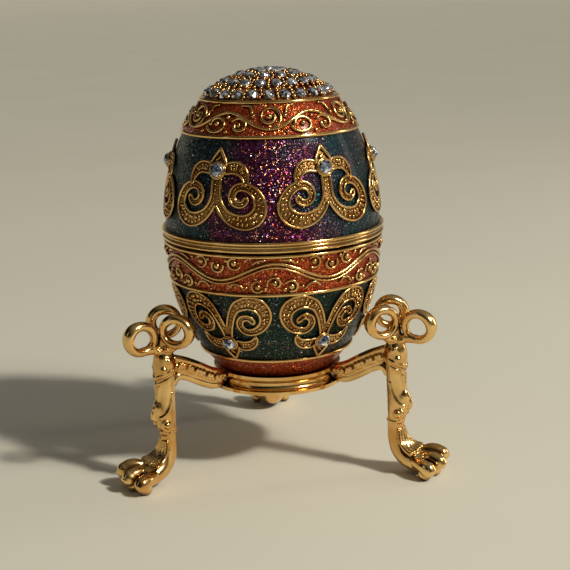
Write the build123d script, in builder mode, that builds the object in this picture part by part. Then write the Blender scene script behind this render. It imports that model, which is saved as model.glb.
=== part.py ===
from build123d import *
import os
from math import atan2, cos, radians, sin, sqrt

# A hinged trinket-box egg with enamel fields, gilt scrolls and crystals, resting in the ring of
# a three-legged stand with lion paws. Millimetres. Z is the axis of egg and stand, Z = 0 is the
# floor, -Y is the front, and the lid is hinged at +Y.

os.makedirs("parts", exist_ok=True)

# ---------------------------------------------------------------- driving dimensions
# The egg's outline is two half-ellipses that meet at the seam.
egg_radius = 22.3
seam_height = 50.0
lid_rise = 35.0
base_drop = 34.5

# Layers, measured from the outline. Negative values lie inside it.
enamel_depth = 0.5
wall_depth = 2.2
bond_gap = 0.02
rim_proud = 0.5
line_proud = 0.35

# Heights of the edges between the zones of the egg.
egg_bottom = 19.2
foot_low = 21.3
foot_high = 25.3
belt_low = 40.9
belt_high = 48.2
rim_low = 49.3
rim_high = 51.3
band_low = 71.25
band_high = 77.1
line_height = 0.5
seam_gap = 0.1
cavity_floor = 24.0
cavity_roof = 74.0

# Raised work. Six motifs circle each field, and six waves circle each band.
repeats = 6
sector = 360 / repeats
scroll_proud = 0.6
vine_proud = 0.45
ribbon_width = 1.8
vine_width = 0.7
bead_radius = 0.75
lid_motif_height = 64.8
base_motif_height = 30.0
lid_motif_scale = 1.0
base_motif_scale = 0.97
motif_crystal_radius = 1.4
motif_crystal_girdle = 0.5
motif_crystal_crown = 0.8
stone_table_ratio = 0.58

# The crystal-set dome.
dome_centre = 61.6
dome_radius = 20.8
dome_stone_radius = 1.1
dome_stone_girdle = 0.55
dome_stone_crown = 0.65
dome_prong_radius = 0.3
dome_prong_height = 0.9
# Rows of stones, and rows of prongs between them, as (angle from the apex, count).
dome_stone_rows = ((35.8, 24), (25.6, 18), (16.0, 11), (8.0, 6))
dome_prong_rows = ((30.7, 36), (20.8, 25))

# Hinge and closure.
hinge_y = 24.4
pin_radius = 0.6
pin_clearance = 0.05
knuckle_radius = 1.4
lid_knuckle_length = 3.4
base_knuckle_length = 2.6
knuckle_gap = 0.15
magnet_radius = 2.0
magnet_height = 1.6
magnet_y = -18.6
boss_radius = 2.7
boss_height = 3.2

# The stand.
leg_count = 3
leg_turn = 3.0
leg_radius_from_axis = 27.2
knee_height = 27.4
ring_top = 21.2
ring_bottom = 17.6
ring_bore_radius = 10.4
spigot_radius = 10.0
rest_gap = 0.05
ring_lip_radius = 13.5
ring_foot_radius = 14.3
bracket_thickness = 3.0
bow_loop_centre = 4.2
bow_loop_height = 31.8
bow_loop_radius = 2.75
bow_loop_thick = 0.9
bow_loop_wide = 1.15
bow_core_radius = 1.3
bow_core_height = 7.4
paw_toe_radius = 1.9
hock_radius = 1.6
hock_height = 14.8
leg_waist_radius = 2.7
leg_names = ("front_right", "back", "front_left")
leg_angles = [-30 + leg_turn + 120 * i for i in range(leg_count)]

# Profile of a leg's shaft, as (radius, height), from the knee down to the ankle.
shaft_profile = ((1.5, knee_height), (2.6, 24.0), (1.95, 20.5), (1.9, 15.5), (1.6, 10.5), (1.8, 7.5))
# A leg's toes, as (forward, sideways, height) from the axis of its shaft.
toe_centres = ((9.1, 0.0, 1.6), (8.4, 2.9, 1.6), (8.4, -2.9, 1.6))
# Upper and lower edges of a bracket, as (distance from the axis of the egg, height).
bracket_top = ((12.0, 21.6), (15.5, 22.2), (19.5, 24.2), (leg_radius_from_axis, 26.4))
bracket_bottom = ((leg_radius_from_axis, 21.6), (21.0, 19.9), (16.5, 17.9), (12.0, 18.4))

# Helper sizes: larger than anything they cut or cover.
reach = 60.0
plate_reach = 6.0
stand_on = (Align.CENTER, Align.CENTER, Align.MIN)
hang_from = (Align.CENTER, Align.CENTER, Align.MAX)


# ---------------------------------------------------------------- helpers
def outline_radius(height, grow=0.0):
    """Radius of the egg's outline, grown by grow, at a height."""
    half = lid_rise if height >= seam_height else base_drop
    return (egg_radius + grow) * sqrt(1 - ((height - seam_height) / (half + grow)) ** 2)


def egg_slice(grow, low, high):
    """Solid of the egg's outline, grown by grow, between two heights on one side of the seam."""
    half = lid_rise if low >= seam_height else base_drop
    with BuildPart() as solid:
        with BuildSketch(Plane.XZ):
            with Locations((0, seam_height)):
                Ellipse(egg_radius + grow, half + grow)
            with Locations((0, low)):
                Rectangle(reach, high - low, align=(Align.MIN, Align.MIN), mode=Mode.INTERSECT)
        revolve(axis=Axis.Z)
    return solid.part


def egg_layer(inner, outer, low, high):
    """Ring-shaped layer of the egg between two grown outlines and two heights."""
    core = egg_slice(inner, low - 1, high + 1)
    with BuildPart() as layer:
        add(egg_slice(outer, low, high))
        add(core, mode=Mode.SUBTRACT)
    return layer.part


def line_ring(low, high, proud):
    """Gilt line that stands proud of the egg between two heights."""
    radius = outline_radius((low + high) / 2)
    depth = (enamel_depth + wall_depth) / 2
    with BuildPart() as ring:
        with BuildSketch(Plane.XZ):
            with Locations((radius - depth, low)):
                Rectangle(depth + proud, high - low, align=(Align.MIN, Align.MIN))
        revolve(axis=Axis.Z)
    return ring.part


def surface_plane(azimuth, height, lift=0.0):
    """Plane tangent to the egg, its Z outwards, its X level, at an azimuth from the front."""
    radius = outline_radius(height)
    half = lid_rise if height >= seam_height else base_drop
    slope = atan2((height - seam_height) * egg_radius**2, radius * half**2)
    turn = radians(azimuth - 90)
    outward = Vector(cos(turn) * cos(slope), sin(turn) * cos(slope), sin(slope))
    place = Vector(radius * cos(turn), radius * sin(turn), height) + outward * lift
    return Plane(origin=place, x_dir=(-sin(turn), cos(turn), 0), z_dir=outward)


def raised_plate(sketch, plane, layer):
    """The part of a layer of the egg that a flat outline covers, seen along a tangent plane."""
    with BuildPart() as plate:
        add(plane.offset(-plate_reach) * sketch)
        extrude(amount=plate_reach + scroll_proud + bead_radius, dir=plane.z_dir)
        add(layer, mode=Mode.INTERSECT)
    return plate.part


def cut_stone(radius, girdle, crown):
    """Round flat-backed crystal standing on the XY plane: girdle, then a flat-topped crown."""
    with BuildPart() as stone:
        Cylinder(radius, girdle, align=stand_on)
        with Locations((0, 0, girdle)):
            Cone(radius, stone_table_ratio * radius, crown, align=stand_on)
    return stone.part


def finish(piece, name):
    """Label a piece and write its STEP file."""
    piece.part.label = name
    export_step(piece.part, f"parts/{name}.step")


# ---------------------------------------------------------------- the raised scroll motif
def scroll_motif(size):
    """Flat outline of a motif: crystal bezel, pointed leaf, side leaves, stem and two spirals.

    The crystal is at the origin, the leaf points along +Y and the spirals hang below.
    """
    stem_top = -1.5 * size
    stem_foot = -4.6 * size
    stem_offset = 0.25 * size
    spiral_radii = [5.65, 3.2, 3.6, 1.9, 1.6, 1.3]
    with BuildSketch() as motif:
        for side in (1, -1):
            with BuildLine():
                Line((side * stem_offset, stem_top), (side * stem_offset, stem_foot))
                place = Vector(side * stem_offset, stem_foot)
                heading = Vector(0, -1)
                for radius in spiral_radii:
                    turn = JernArc(place, heading, radius * size, side * 90)
                    place = turn @ 1
                    heading = turn % 1
            trace(line_width=ribbon_width * size)
            with Locations((side * 3.7 * size, 0)):
                Ellipse(2.5 * size, 0.85 * size)
        Circle(1.95 * size)
        with BuildLine():
            ThreePointArc((-1.5 * size, 0.9 * size), (-1.0 * size, 2.6 * size), (0, 4.1 * size))
            ThreePointArc((0, 4.1 * size), (1.0 * size, 2.6 * size), (1.5 * size, 0.9 * size))
            Line((1.5 * size, 0.9 * size), (-1.5 * size, 0.9 * size))
        make_face()
    return motif.sketch


def wave_outline(radius, amplitude, sag):
    """Flat outline of one wave of vine wire, crest at the origin, ends in the two troughs."""
    half_length = radius * sin(radians(sector / 2 - 0.3))
    low = -amplitude + sag
    with BuildSketch() as wave:
        with BuildLine():
            ends = ((1, 0), (1, 0))
            Spline((-half_length, low), (0, amplitude), (half_length, low), tangents=ends)
        trace(line_width=vine_width)
    return wave.sketch


motif_azimuths = [sector / 2 + sector * i for i in range(repeats)]
wave_azimuths = [sector * i for i in range(repeats)]


def motif_ring(size, height, flipped, low, high):
    """Six motifs standing proud of one field."""
    layer = egg_layer(bond_gap, scroll_proud, low, high)
    motif = scroll_motif(size)
    if flipped:
        motif = motif.rotate(Axis.Z, 180)
    plate = raised_plate(motif, surface_plane(0, height), layer)
    with BuildPart() as ring:
        for azimuth in motif_azimuths:
            add(plate.rotate(Axis.Z, azimuth))
    return ring.part


def wave_ring(height, amplitude, sag, low, high):
    """Six waves of vine wire around one band."""
    layer = egg_layer(bond_gap, vine_proud, low, high)
    outline = wave_outline(outline_radius(height), amplitude, sag)
    plate = raised_plate(outline, surface_plane(0, height), layer)
    with BuildPart() as ring:
        for azimuth in wave_azimuths:
            add(plate.rotate(Axis.Z, azimuth))
    return ring.part


def bead_ring(spots):
    """Beads resting on the outline at (azimuth, height) spots, repeated around the egg."""
    with BuildPart() as ring:
        for azimuth, height in spots:
            lift = bead_radius + bond_gap
            planes = [surface_plane(azimuth + start, height, lift) for start in wave_azimuths]
            with Locations(*[plane.location for plane in planes]):
                Sphere(bead_radius)
    return ring.part


# ---------------------------------------------------------------- lower half of the egg
base_top = seam_height - seam_gap / 2
lid_bottom = seam_height + seam_gap / 2
knuckle_step = (lid_knuckle_length + base_knuckle_length) / 2 + knuckle_gap
leaf_height = 1.2
leaf_depth = hinge_y - egg_radius + rim_proud
bore_length = 20.0
pocket_depth = magnet_height + bond_gap
pocket_radius = magnet_radius + bond_gap
spigot_height = cavity_floor - egg_bottom - 1
core_base = egg_slice(-wall_depth, cavity_floor, seam_height)

with BuildPart() as base_shell:
    add(egg_slice(-enamel_depth, foot_low - rest_gap / 2, base_top))
    with Locations((0, 0, egg_bottom)):
        Cylinder(spigot_radius, spigot_height, align=stand_on)
    add(line_ring(rim_low, base_top, rim_proud))
    add(line_ring(belt_high, belt_high + line_height, line_proud))
    add(line_ring(belt_low - line_height, belt_low, line_proud))
    add(line_ring(foot_high, foot_high + line_height, line_proud))
    add(core_base, mode=Mode.SUBTRACT)
    with Locations((0, magnet_y, base_top)):
        Cylinder(boss_radius, boss_height, align=hang_from)
        Cylinder(pocket_radius, pocket_depth, align=hang_from, mode=Mode.SUBTRACT)
    with Locations((-knuckle_step, hinge_y, seam_height), (knuckle_step, hinge_y, seam_height)):
        Cylinder(knuckle_radius, base_knuckle_length, rotation=(0, 90, 0))
    with Locations((-knuckle_step, hinge_y, base_top), (knuckle_step, hinge_y, base_top)):
        Box(base_knuckle_length, leaf_depth, leaf_height, align=(Align.CENTER, Align.MAX, Align.MAX))
    with Locations((0, hinge_y, seam_height)):
        Cylinder(pin_radius + pin_clearance, bore_length, rotation=(0, 90, 0), mode=Mode.SUBTRACT)
finish(base_shell, "base_shell")

with BuildPart() as base_belt_enamel:
    add(egg_layer(-enamel_depth + bond_gap, 0, belt_low + bond_gap, belt_high - bond_gap))
finish(base_belt_enamel, "base_belt_enamel")

field_low = foot_high + line_height + bond_gap
field_high = belt_low - line_height - bond_gap
with BuildPart() as base_field_enamel:
    add(egg_layer(-enamel_depth + bond_gap, 0, field_low, field_high))
finish(base_field_enamel, "base_field_enamel")

with BuildPart() as base_foot_enamel:
    add(egg_layer(-enamel_depth + bond_gap, 0, foot_low, foot_high - bond_gap))
finish(base_foot_enamel, "base_foot_enamel")

with BuildPart() as base_scrolls:
    add(motif_ring(base_motif_scale, base_motif_height, True, field_low, field_high))
finish(base_scrolls, "base_scrolls")

belt_middle = (belt_low + belt_high) / 2
belt_wave = 2.0
with BuildPart() as base_vine:
    add(wave_ring(belt_middle + 0.5, belt_wave, 0, belt_low + bond_gap, belt_high - bond_gap))
finish(base_vine, "base_vine")

crest_beads = [(azimuth, belt_low + 2.0) for azimuth in (-9.5, 0, 9.5)]
trough_beads = [(azimuth + sector / 2, belt_high - 1.5) for azimuth in (-9.5, 0, 9.5)]
with BuildPart() as base_beads:
    add(bead_ring(crest_beads + trough_beads))
finish(base_beads, "base_beads")

motif_stone = cut_stone(motif_crystal_radius, motif_crystal_girdle, motif_crystal_crown)
stone_lift = scroll_proud + bond_gap
with BuildPart() as base_crystals:
    planes = [surface_plane(azimuth, base_motif_height, stone_lift) for azimuth in motif_azimuths]
    with Locations(*[plane.location for plane in planes]):
        add(motif_stone)
finish(base_crystals, "base_crystals")

with BuildPart() as base_magnet:
    with Locations((0, magnet_y, base_top - bond_gap / 2)):
        Cylinder(magnet_radius, magnet_height, align=hang_from)
finish(base_magnet, "base_magnet")

with BuildPart() as hinge_pin:
    with Locations((0, hinge_y, seam_height)):
        Cylinder(pin_radius, 2 * knuckle_step + base_knuckle_length + 0.2, rotation=(0, 90, 0))
finish(hinge_pin, "hinge_pin")

# ---------------------------------------------------------------- lid
core_lid = egg_slice(-wall_depth, seam_height, cavity_roof)
lid_top = band_high + line_height

with BuildPart() as lid_shell:
    add(egg_slice(-enamel_depth, lid_bottom, lid_top))
    add(line_ring(lid_bottom, rim_high, rim_proud))
    add(line_ring(band_low - line_height, band_low, line_proud))
    add(line_ring(band_high, lid_top, line_proud))
    add(core_lid, mode=Mode.SUBTRACT)
    with Locations((0, magnet_y, lid_bottom)):
        Cylinder(boss_radius, boss_height, align=stand_on)
        Cylinder(pocket_radius, pocket_depth, align=stand_on, mode=Mode.SUBTRACT)
    with Locations((0, hinge_y, seam_height)):
        Cylinder(knuckle_radius, lid_knuckle_length, rotation=(0, 90, 0))
    with Locations((0, hinge_y, lid_bottom)):
        Box(lid_knuckle_length, leaf_depth, leaf_height, align=(Align.CENTER, Align.MAX, Align.MIN))
    with Locations((0, hinge_y, seam_height)):
        Cylinder(pin_radius + pin_clearance, bore_length, rotation=(0, 90, 0), mode=Mode.SUBTRACT)
finish(lid_shell, "lid_shell")

lid_field_low = rim_high + bond_gap
lid_field_high = band_low - line_height - bond_gap
with BuildPart() as lid_field_enamel:
    add(egg_layer(-enamel_depth + bond_gap, 0, lid_field_low, lid_field_high))
finish(lid_field_enamel, "lid_field_enamel")

with BuildPart() as lid_band_enamel:
    add(egg_layer(-enamel_depth + bond_gap, 0, band_low + bond_gap, band_high - bond_gap))
finish(lid_band_enamel, "lid_band_enamel")

with BuildPart() as lid_scrolls:
    add(motif_ring(lid_motif_scale, lid_motif_height, False, lid_field_low, lid_field_high))
finish(lid_scrolls, "lid_scrolls")

band_middle = (band_low + band_high) / 2
band_wave = 1.3
band_sag = 1.1
with BuildPart() as lid_vine:
    add(wave_ring(band_middle, band_wave, band_sag, band_low + bond_gap, band_high - bond_gap))
finish(lid_vine, "lid_vine")

band_crest_beads = [(azimuth, band_low + 1.9) for azimuth in (-9, 9)]
band_trough_beads = [(azimuth + sector / 2, band_high - 1.5) for azimuth in (-7, 7)]
with BuildPart() as lid_beads:
    add(bead_ring(band_crest_beads + band_trough_beads))
finish(lid_beads, "lid_beads")

with BuildPart() as lid_crystals:
    planes = [surface_plane(azimuth, lid_motif_height, stone_lift) for azimuth in motif_azimuths]
    with Locations(*[plane.location for plane in planes]):
        add(motif_stone)
finish(lid_crystals, "lid_crystals")

with BuildPart() as lid_magnet:
    with Locations((0, magnet_y, lid_bottom + bond_gap / 2)):
        Cylinder(magnet_radius, magnet_height, align=stand_on)
finish(lid_magnet, "lid_magnet")


# ---------------------------------------------------------------- crystal-set dome
def dome_location(polar, azimuth):
    """Location on the dome, Z outwards, at an angle from the apex and an angle around it."""
    level = Vector(cos(radians(azimuth)), sin(radians(azimuth)), 0)
    outward = level * sin(radians(polar)) + Vector(0, 0, 1) * cos(radians(polar))
    place = Vector(0, 0, dome_centre) + outward * (dome_radius + bond_gap)
    return Plane(origin=place, z_dir=outward).location


stone_spots = [dome_location(0, 0)]
prong_spots = []
for polar, count in dome_stone_rows:
    for i in range(count):
        stone_spots.append(dome_location(polar, 360 * i / count))
        prong_spots.append(dome_location(polar, 360 * (i + 0.5) / count))
for polar, count in dome_prong_rows:
    for i in range(count):
        prong_spots.append(dome_location(polar, 360 * i / count))

with BuildPart() as dome_setting:
    with Locations((0, 0, dome_centre)):
        Sphere(dome_radius)
    with Locations((0, 0, lid_top + bond_gap)):
        Box(reach, reach, reach, align=stand_on, mode=Mode.INTERSECT)
finish(dome_setting, "dome_setting")

dome_stone = cut_stone(dome_stone_radius, dome_stone_girdle, dome_stone_crown)
with BuildPart() as dome_crystals:
    with Locations(*stone_spots):
        add(dome_stone)
finish(dome_crystals, "dome_crystals")

with BuildPart() as dome_prongs:
    with Locations(*prong_spots):
        Cylinder(dome_prong_radius, dome_prong_height, align=stand_on)
finish(dome_prongs, "dome_prongs")

# ---------------------------------------------------------------- stand
with BuildPart() as stand_ring:
    with BuildSketch(Plane.XZ):
        with BuildLine():
            top_lip = (ring_lip_radius, ring_top)
            under_lip = (ring_lip_radius, ring_top - 0.7)
            foot_lip = (ring_foot_radius, ring_bottom + 0.7)
            foot = (ring_foot_radius, ring_bottom)
            Line((ring_bore_radius, ring_bottom), (ring_bore_radius, ring_top))
            Line((ring_bore_radius, ring_top), top_lip)
            Line(top_lip, under_lip)
            ThreePointArc(under_lip, (ring_lip_radius - 0.5, (ring_top + ring_bottom) / 2), foot_lip)
            Line(foot_lip, foot)
            Line(foot, (ring_bore_radius, ring_bottom))
        make_face()
    revolve(axis=Axis.Z)
finish(stand_ring, "stand_ring")


def leg():
    """Leg with paw, its shaft on the Z axis and its toes towards +X."""
    ankle_height = shaft_profile[-1][1]
    with BuildPart() as shape:
        with BuildSketch(Plane.XZ):
            with BuildLine():
                outline = Spline(*shaft_profile)
                Line(outline @ 0, (0, knee_height))
                Line((0, knee_height), (0, ankle_height))
                Line((0, ankle_height), outline @ 1)
            make_face()
        revolve(axis=Axis.Z)
        with Locations((hock_radius, 0, hock_height)):
            Sphere(hock_radius)
        with BuildSketch(Plane(origin=(0, 0, 8.2), z_dir=(0, 0, -1))):
            Circle(1.7)
        with BuildSketch(Plane(origin=(3.0, 0, 4.6), x_dir=(0, 1, 0), z_dir=(1, 0, -1))):
            Ellipse(3.3, 2.5)
        with BuildSketch(Plane(origin=(7.6, 0, 2.1), x_dir=(0, 1, 0), z_dir=(1, 0, 0))):
            Ellipse(4.3, 2.5)
        loft()
        with Locations(*toe_centres):
            Sphere(paw_toe_radius)
        split(bisect_by=Plane.XY, keep=Keep.TOP)
    return shape.part


def bracket():
    """Feathered bracket between ring and knee, in the plane of +X and Z."""
    with BuildPart() as shape:
        with BuildSketch(Plane.XZ):
            with BuildLine():
                top = Spline(*bracket_top)
                bottom = Spline(*bracket_bottom)
                Line(top @ 1, bottom @ 0)
                Line(bottom @ 1, top @ 0)
            make_face()
        extrude(amount=bracket_thickness / 2, both=True)
        Cylinder(ring_foot_radius + rest_gap, reach * 2, mode=Mode.SUBTRACT)
        with Locations((leg_radius_from_axis, 0, 0)):
            Cylinder(leg_waist_radius + rest_gap, reach * 2, mode=Mode.SUBTRACT)
    return shape.part


def bow():
    """Three upright loops around the Z axis, one towards +X."""
    with BuildPart() as shape:
        for angle in (0, 120, 240):
            outward = Vector(cos(radians(angle)), sin(radians(angle)), 0)
            sideways = Vector(-outward.Y, outward.X, 0)
            centre = outward * bow_loop_centre + Vector(0, 0, bow_loop_height)
            section = Plane(origin=centre, x_dir=outward, z_dir=(0, 0, 1))
            with BuildSketch(section):
                with Locations((bow_loop_radius, 0)):
                    Ellipse(bow_loop_thick, bow_loop_wide)
            revolve(axis=Axis(centre, sideways))
        with Locations((0, 0, knee_height + bond_gap)):
            Cylinder(bow_core_radius, bow_core_height, align=stand_on)
    return shape.part


leg_shape = leg()
bracket_shape = bracket()
bow_shape = bow()

for place, angle in zip(leg_names, leg_angles):
    outward = Vector(cos(radians(angle)), sin(radians(angle)), 0) * leg_radius_from_axis
    knee = Location(tuple(outward), (0, 0, angle))

    with BuildPart() as stand_leg:
        with Locations(knee):
            add(leg_shape)
    finish(stand_leg, f"leg_{place}")

    with BuildPart() as stand_bracket:
        with Locations(Location((0, 0, 0), (0, 0, angle))):
            add(bracket_shape)
    finish(stand_bracket, f"bracket_{place}")

    with BuildPart() as stand_bow:
        with Locations(knee):
            add(bow_shape)
    finish(stand_bow, f"bow_{place}")
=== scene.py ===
import bpy
import math
import random
import numpy as np
from mathutils import Matrix, Vector


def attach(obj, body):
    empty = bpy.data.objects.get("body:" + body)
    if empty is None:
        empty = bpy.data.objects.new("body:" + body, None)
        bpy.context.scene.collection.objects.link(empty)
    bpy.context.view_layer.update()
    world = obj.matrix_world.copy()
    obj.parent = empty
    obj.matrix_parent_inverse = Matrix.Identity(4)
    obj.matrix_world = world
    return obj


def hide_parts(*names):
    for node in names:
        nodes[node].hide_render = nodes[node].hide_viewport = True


# A jewelled trinket-box egg in a gilt stand with lion paws. Lengths are millimetres in the
# geometry below and metres once a piece is made. Azimuth 0 is the front, -Y, and angles of
# azimuth are in degrees.

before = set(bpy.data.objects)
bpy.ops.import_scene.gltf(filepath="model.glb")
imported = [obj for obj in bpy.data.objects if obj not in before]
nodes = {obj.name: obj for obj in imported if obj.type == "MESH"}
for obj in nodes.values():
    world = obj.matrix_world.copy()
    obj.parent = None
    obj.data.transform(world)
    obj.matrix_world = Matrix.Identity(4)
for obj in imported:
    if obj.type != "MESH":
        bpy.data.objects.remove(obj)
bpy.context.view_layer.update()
MM = 0.001
FULL_TURN = 2 * math.pi
UP = np.array([0, 0, 1.0])

# --- the egg's outline
EGG_RADIUS = 22.3
SEAM = 50.0
LID_RISE = 35.0
BASE_DROP = 34.5
REPEATS = 6


def half_height(height):
    """Half axis of the ellipse that the outline follows at a height."""
    return LID_RISE if height >= SEAM else BASE_DROP


def outline_radius(height):
    """Radius of the egg's outline at a height."""
    return EGG_RADIUS * math.sqrt(max(0.0, 1 - ((height - SEAM) / half_height(height)) ** 2))


def tangent_frame(azimuth, height):
    """Origin, level axis, upward axis and outward normal of the egg's tangent plane."""
    radius = outline_radius(height)
    slope = math.atan2((height - SEAM) * EGG_RADIUS**2, radius * half_height(height) ** 2)
    turn = math.radians(azimuth)
    level = np.array([math.cos(turn), math.sin(turn), 0.0])
    out = np.array([math.sin(turn), -math.cos(turn), 0.0])
    normal = out * math.cos(slope) + UP * math.sin(slope)
    return out * radius + UP * height, level, np.cross(normal, level), normal


def drape(points, azimuth, height, lift):
    """Points (u, v) of a tangent plane dropped onto the egg, lift above its outline."""
    origin, level, up, normal = tangent_frame(azimuth, height)
    start = origin + points[:, :1] * level + points[:, 1:2] * up - UP * SEAM
    scale = np.array([EGG_RADIUS, EGG_RADIUS, half_height(height)]) + lift
    p, n = start / scale, normal / scale
    a, b, c = (n * n).sum(), (p * n).sum(1), (p * p).sum(1) - 1
    drop = (b - np.sqrt(np.maximum(b * b - a * c, 0))) / a
    return start - drop[:, None] * normal + UP * SEAM


def band_points(azimuths, heights, lift):
    """Points of the egg at azimuths and heights, lift above its outline."""
    found = []
    for azimuth, height in zip(azimuths, heights):
        origin, _, _, normal = tangent_frame(azimuth, height)
        found.append(origin + normal * lift)
    return np.array(found)


# --- shapes
ODD_DIRECTION = (0.3, 0.2, 0.9)  # no wire starts along it
STRIP_FACES = 4
RING_SIDES = 192
SPLINE_STEPS = 24
ARC_SWEEP = 90
ARC_STEP = 6


def placed(name, data):
    """New object of the scene."""
    obj = bpy.data.objects.new(name, data)
    bpy.context.scene.collection.objects.link(obj)
    return obj


def circle(count):
    """Angles evenly spaced over a full turn."""
    return np.linspace(0, FULL_TURN, count, endpoint=False)


def spread(values, count):
    """A few values turned into count values evenly along the same run."""
    return np.interp(np.linspace(0, 1, count), np.linspace(0, 1, len(values)), values)


def unit(rows):
    """Rows scaled to length 1."""
    return rows / np.linalg.norm(rows, axis=1)[:, None]


def ring_faces(rings, sides, closed=False):
    """Faces between rings of points. closed joins the last ring to the first."""
    faces = []
    for i in range(rings if closed else rings - 1):
        a, b = i * sides, (i + 1) % rings * sides
        for k in range(sides):
            m = (k + 1) % sides
            faces.append((a + k, a + m, b + m, b + k))
    return faces


def flipped(faces):
    """The same faces turned over."""
    return [(first, *rest[::-1]) for first, *rest in faces]


class Form:
    """Vertices and faces gathered from simple parts, then made into one mesh piece."""

    def __init__(self):
        self.verts = []
        self.faces = []
        self.count = 0

    def add(self, verts, faces):
        self.verts.append(np.asarray(verts, float))
        self.faces += [tuple(i + self.count for i in face) for face in faces]
        self.count += len(verts)

    def tube(self, path, radius, sides=10, closed=False, flat=1.0, face=None):
        """Round wire along a path. flat squeezes it along face, an outward direction."""
        path = np.asarray(path, float)
        n = len(path)
        radius = np.broadcast_to(radius, n)
        if closed:
            along = np.roll(path, -1, 0) - np.roll(path, 1, 0)
        else:
            along = np.gradient(path, axis=0)
        along = unit(along)
        if face is None:
            side = np.cross(along[0], ODD_DIRECTION)
            carried = []
            for step in along:
                side = side - step * (side @ step)
                side /= np.linalg.norm(side)
                carried.append(side)
            side = np.array(carried)
            face = np.cross(along, side)
        else:
            face = unit(face - along * (face * along).sum(1)[:, None])
            side = np.cross(face, along)
        turns = circle(sides)
        ring = (
            side[:, None] * np.cos(turns)[None, :, None]
            + face[:, None] * np.sin(turns)[None, :, None] * flat
        )
        verts = (path[:, None] + ring * radius[:, None, None]).reshape(-1, 3)
        faces = ring_faces(n, sides, closed)
        if not closed:
            tips = path[0] - along[0] * radius[0] / 2, path[-1] + along[-1] * radius[-1] / 2
            verts = np.vstack([verts, *tips])
            first, last = n * sides, n * sides + 1
            for k in range(sides):
                m = (k + 1) % sides
                faces.append((first, m, k))
                faces.append((last, (n - 1) * sides + k, (n - 1) * sides + m))
        self.add(verts, faces)

    def ball(self, centre, radii, rows=8, axes=None):
        """Ellipsoid with its radii, or one radius, along axes."""
        axes = np.eye(3) if axes is None else axes
        columns = 2 * rows
        local = [(0, 0, 1)]
        for i in range(1, rows):
            polar = math.pi * i / rows
            for turn in circle(columns):
                level = math.sin(polar)
                local.append((level * math.cos(turn), level * math.sin(turn), math.cos(polar)))
        local.append((0, 0, -1))
        verts = centre + (np.array(local) * radii) @ axes
        faces = []
        for k in range(columns):
            m = (k + 1) % columns
            faces.append((0, 1 + k, 1 + m))
            for i in range(rows - 2):
                a, b = 1 + i * columns, 1 + (i + 1) * columns
                faces.append((a + k, b + k, b + m, a + m))
            low = 1 + (rows - 2) * columns
            faces.append((low + k, len(local) - 1, low + m))
        self.add(verts, faces)

    def sheet(self, left, right):
        """Strip of surface between two edges with the same number of points."""
        row = STRIP_FACES + 1
        shares = np.linspace(0, 1, row)[None, :, None]
        verts = (left[:, None] * (1 - shares) + right[:, None] * shares).reshape(-1, 3)
        faces = []
        for i in range(len(left) - 1):
            for a in range(i * row, i * row + STRIP_FACES):
                faces.append((a, a + 1, a + row + 1, a + row))
        self.add(verts, faces)

    def lathe(self, profile):
        """Closed ring turned about Z from an outline of (radius, height) points."""
        verts = [(r * math.cos(t), r * math.sin(t), z) for t in circle(RING_SIDES) for r, z in profile]
        self.add(verts, flipped(ring_faces(RING_SIDES, len(profile), closed=True)))

    def around(self, repeats):
        """The same form repeated around Z."""
        whole = Form()
        base = np.vstack(self.verts)
        for turn in circle(repeats):
            c, s = math.cos(turn), math.sin(turn)
            whole.add(base @ np.array([[c, s, 0], [-s, c, 0], [0, 0, 1]]), self.faces)
        return whole

    def mesh(self, name):
        """Mesh of the form, in metres."""
        mesh = bpy.data.meshes.new(name)
        mesh.from_pydata((np.vstack(self.verts) * MM).tolist(), [], self.faces)
        mesh.validate()
        return mesh

    def piece(self, name, body, slot, material, replaces=(), smooth=True):
        """Mesh object of the form that rides on a CAD body."""
        mesh = self.mesh(name)
        if smooth:
            mesh.shade_smooth()
        mesh.materials.append(material)
        obj = placed(name, mesh)
        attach(obj, body)
        if replaces:
            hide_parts(*replaces)


def smoothed(points, rounds):
    """Points of a curve with their small corners rounded off, ends kept."""
    for _ in range(rounds):
        inner = (points[:-2] + 2 * points[1:-1] + points[2:]) / 4
        points = np.vstack([points[:1], inner, points[-1:]])
    return points


def run_along(points):
    """Length of a curve from its start to each of its points."""
    return np.concatenate([[0], np.cumsum(np.linalg.norm(np.diff(points, axis=0), axis=1))])


def evenly(points, count):
    """The same curve with count evenly spaced points."""
    run = run_along(points)
    at = np.linspace(0, run[-1], count)
    return np.stack([np.interp(at, run, points[:, k]) for k in range(points.shape[1])], 1)


def spline(points, count):
    """Smooth curve through a few points, evenly spaced."""
    points = np.asarray(points, float)
    padded = np.vstack([2 * points[0] - points[1], points, 2 * points[-1] - points[-2]])
    fine = []
    for i in range(len(points) - 1):
        p0, p1, p2, p3 = padded[i : i + 4]
        for t in np.linspace(0, 1, SPLINE_STEPS, endpoint=False):
            fine.append(
                0.5 * (2 * p1 + (p2 - p0) * t + (2 * p0 - 5 * p1 + 4 * p2 - p3) * t**2
                       + (3 * p1 - p0 - 3 * p2 + p3) * t**3)
            )
    return evenly(np.array(fine + [points[-1]]), count)


def resampled(points, spacing):
    """The same curve with a point every spacing."""
    points = np.asarray(points, float)
    return evenly(points, max(3, int(run_along(points)[-1] / spacing)))


def arcs(start, heading, radii, side):
    """Curve of quarter turns to one side, from a start point and a heading in degrees."""
    place = np.array(start, float)
    angle = math.radians(heading)
    found = [place]
    for radius in radii:
        centre = place + radius * np.array([-math.sin(angle), math.cos(angle)]) * side
        for k in range(1, ARC_SWEEP // ARC_STEP + 1):
            a = angle + side * math.radians(ARC_STEP * k)
            found.append(centre + radius * np.array([math.sin(a), -math.cos(a)]) * side)
        place = found[-1]
        angle += side * math.radians(ARC_SWEEP)
    return np.array(found)


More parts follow.
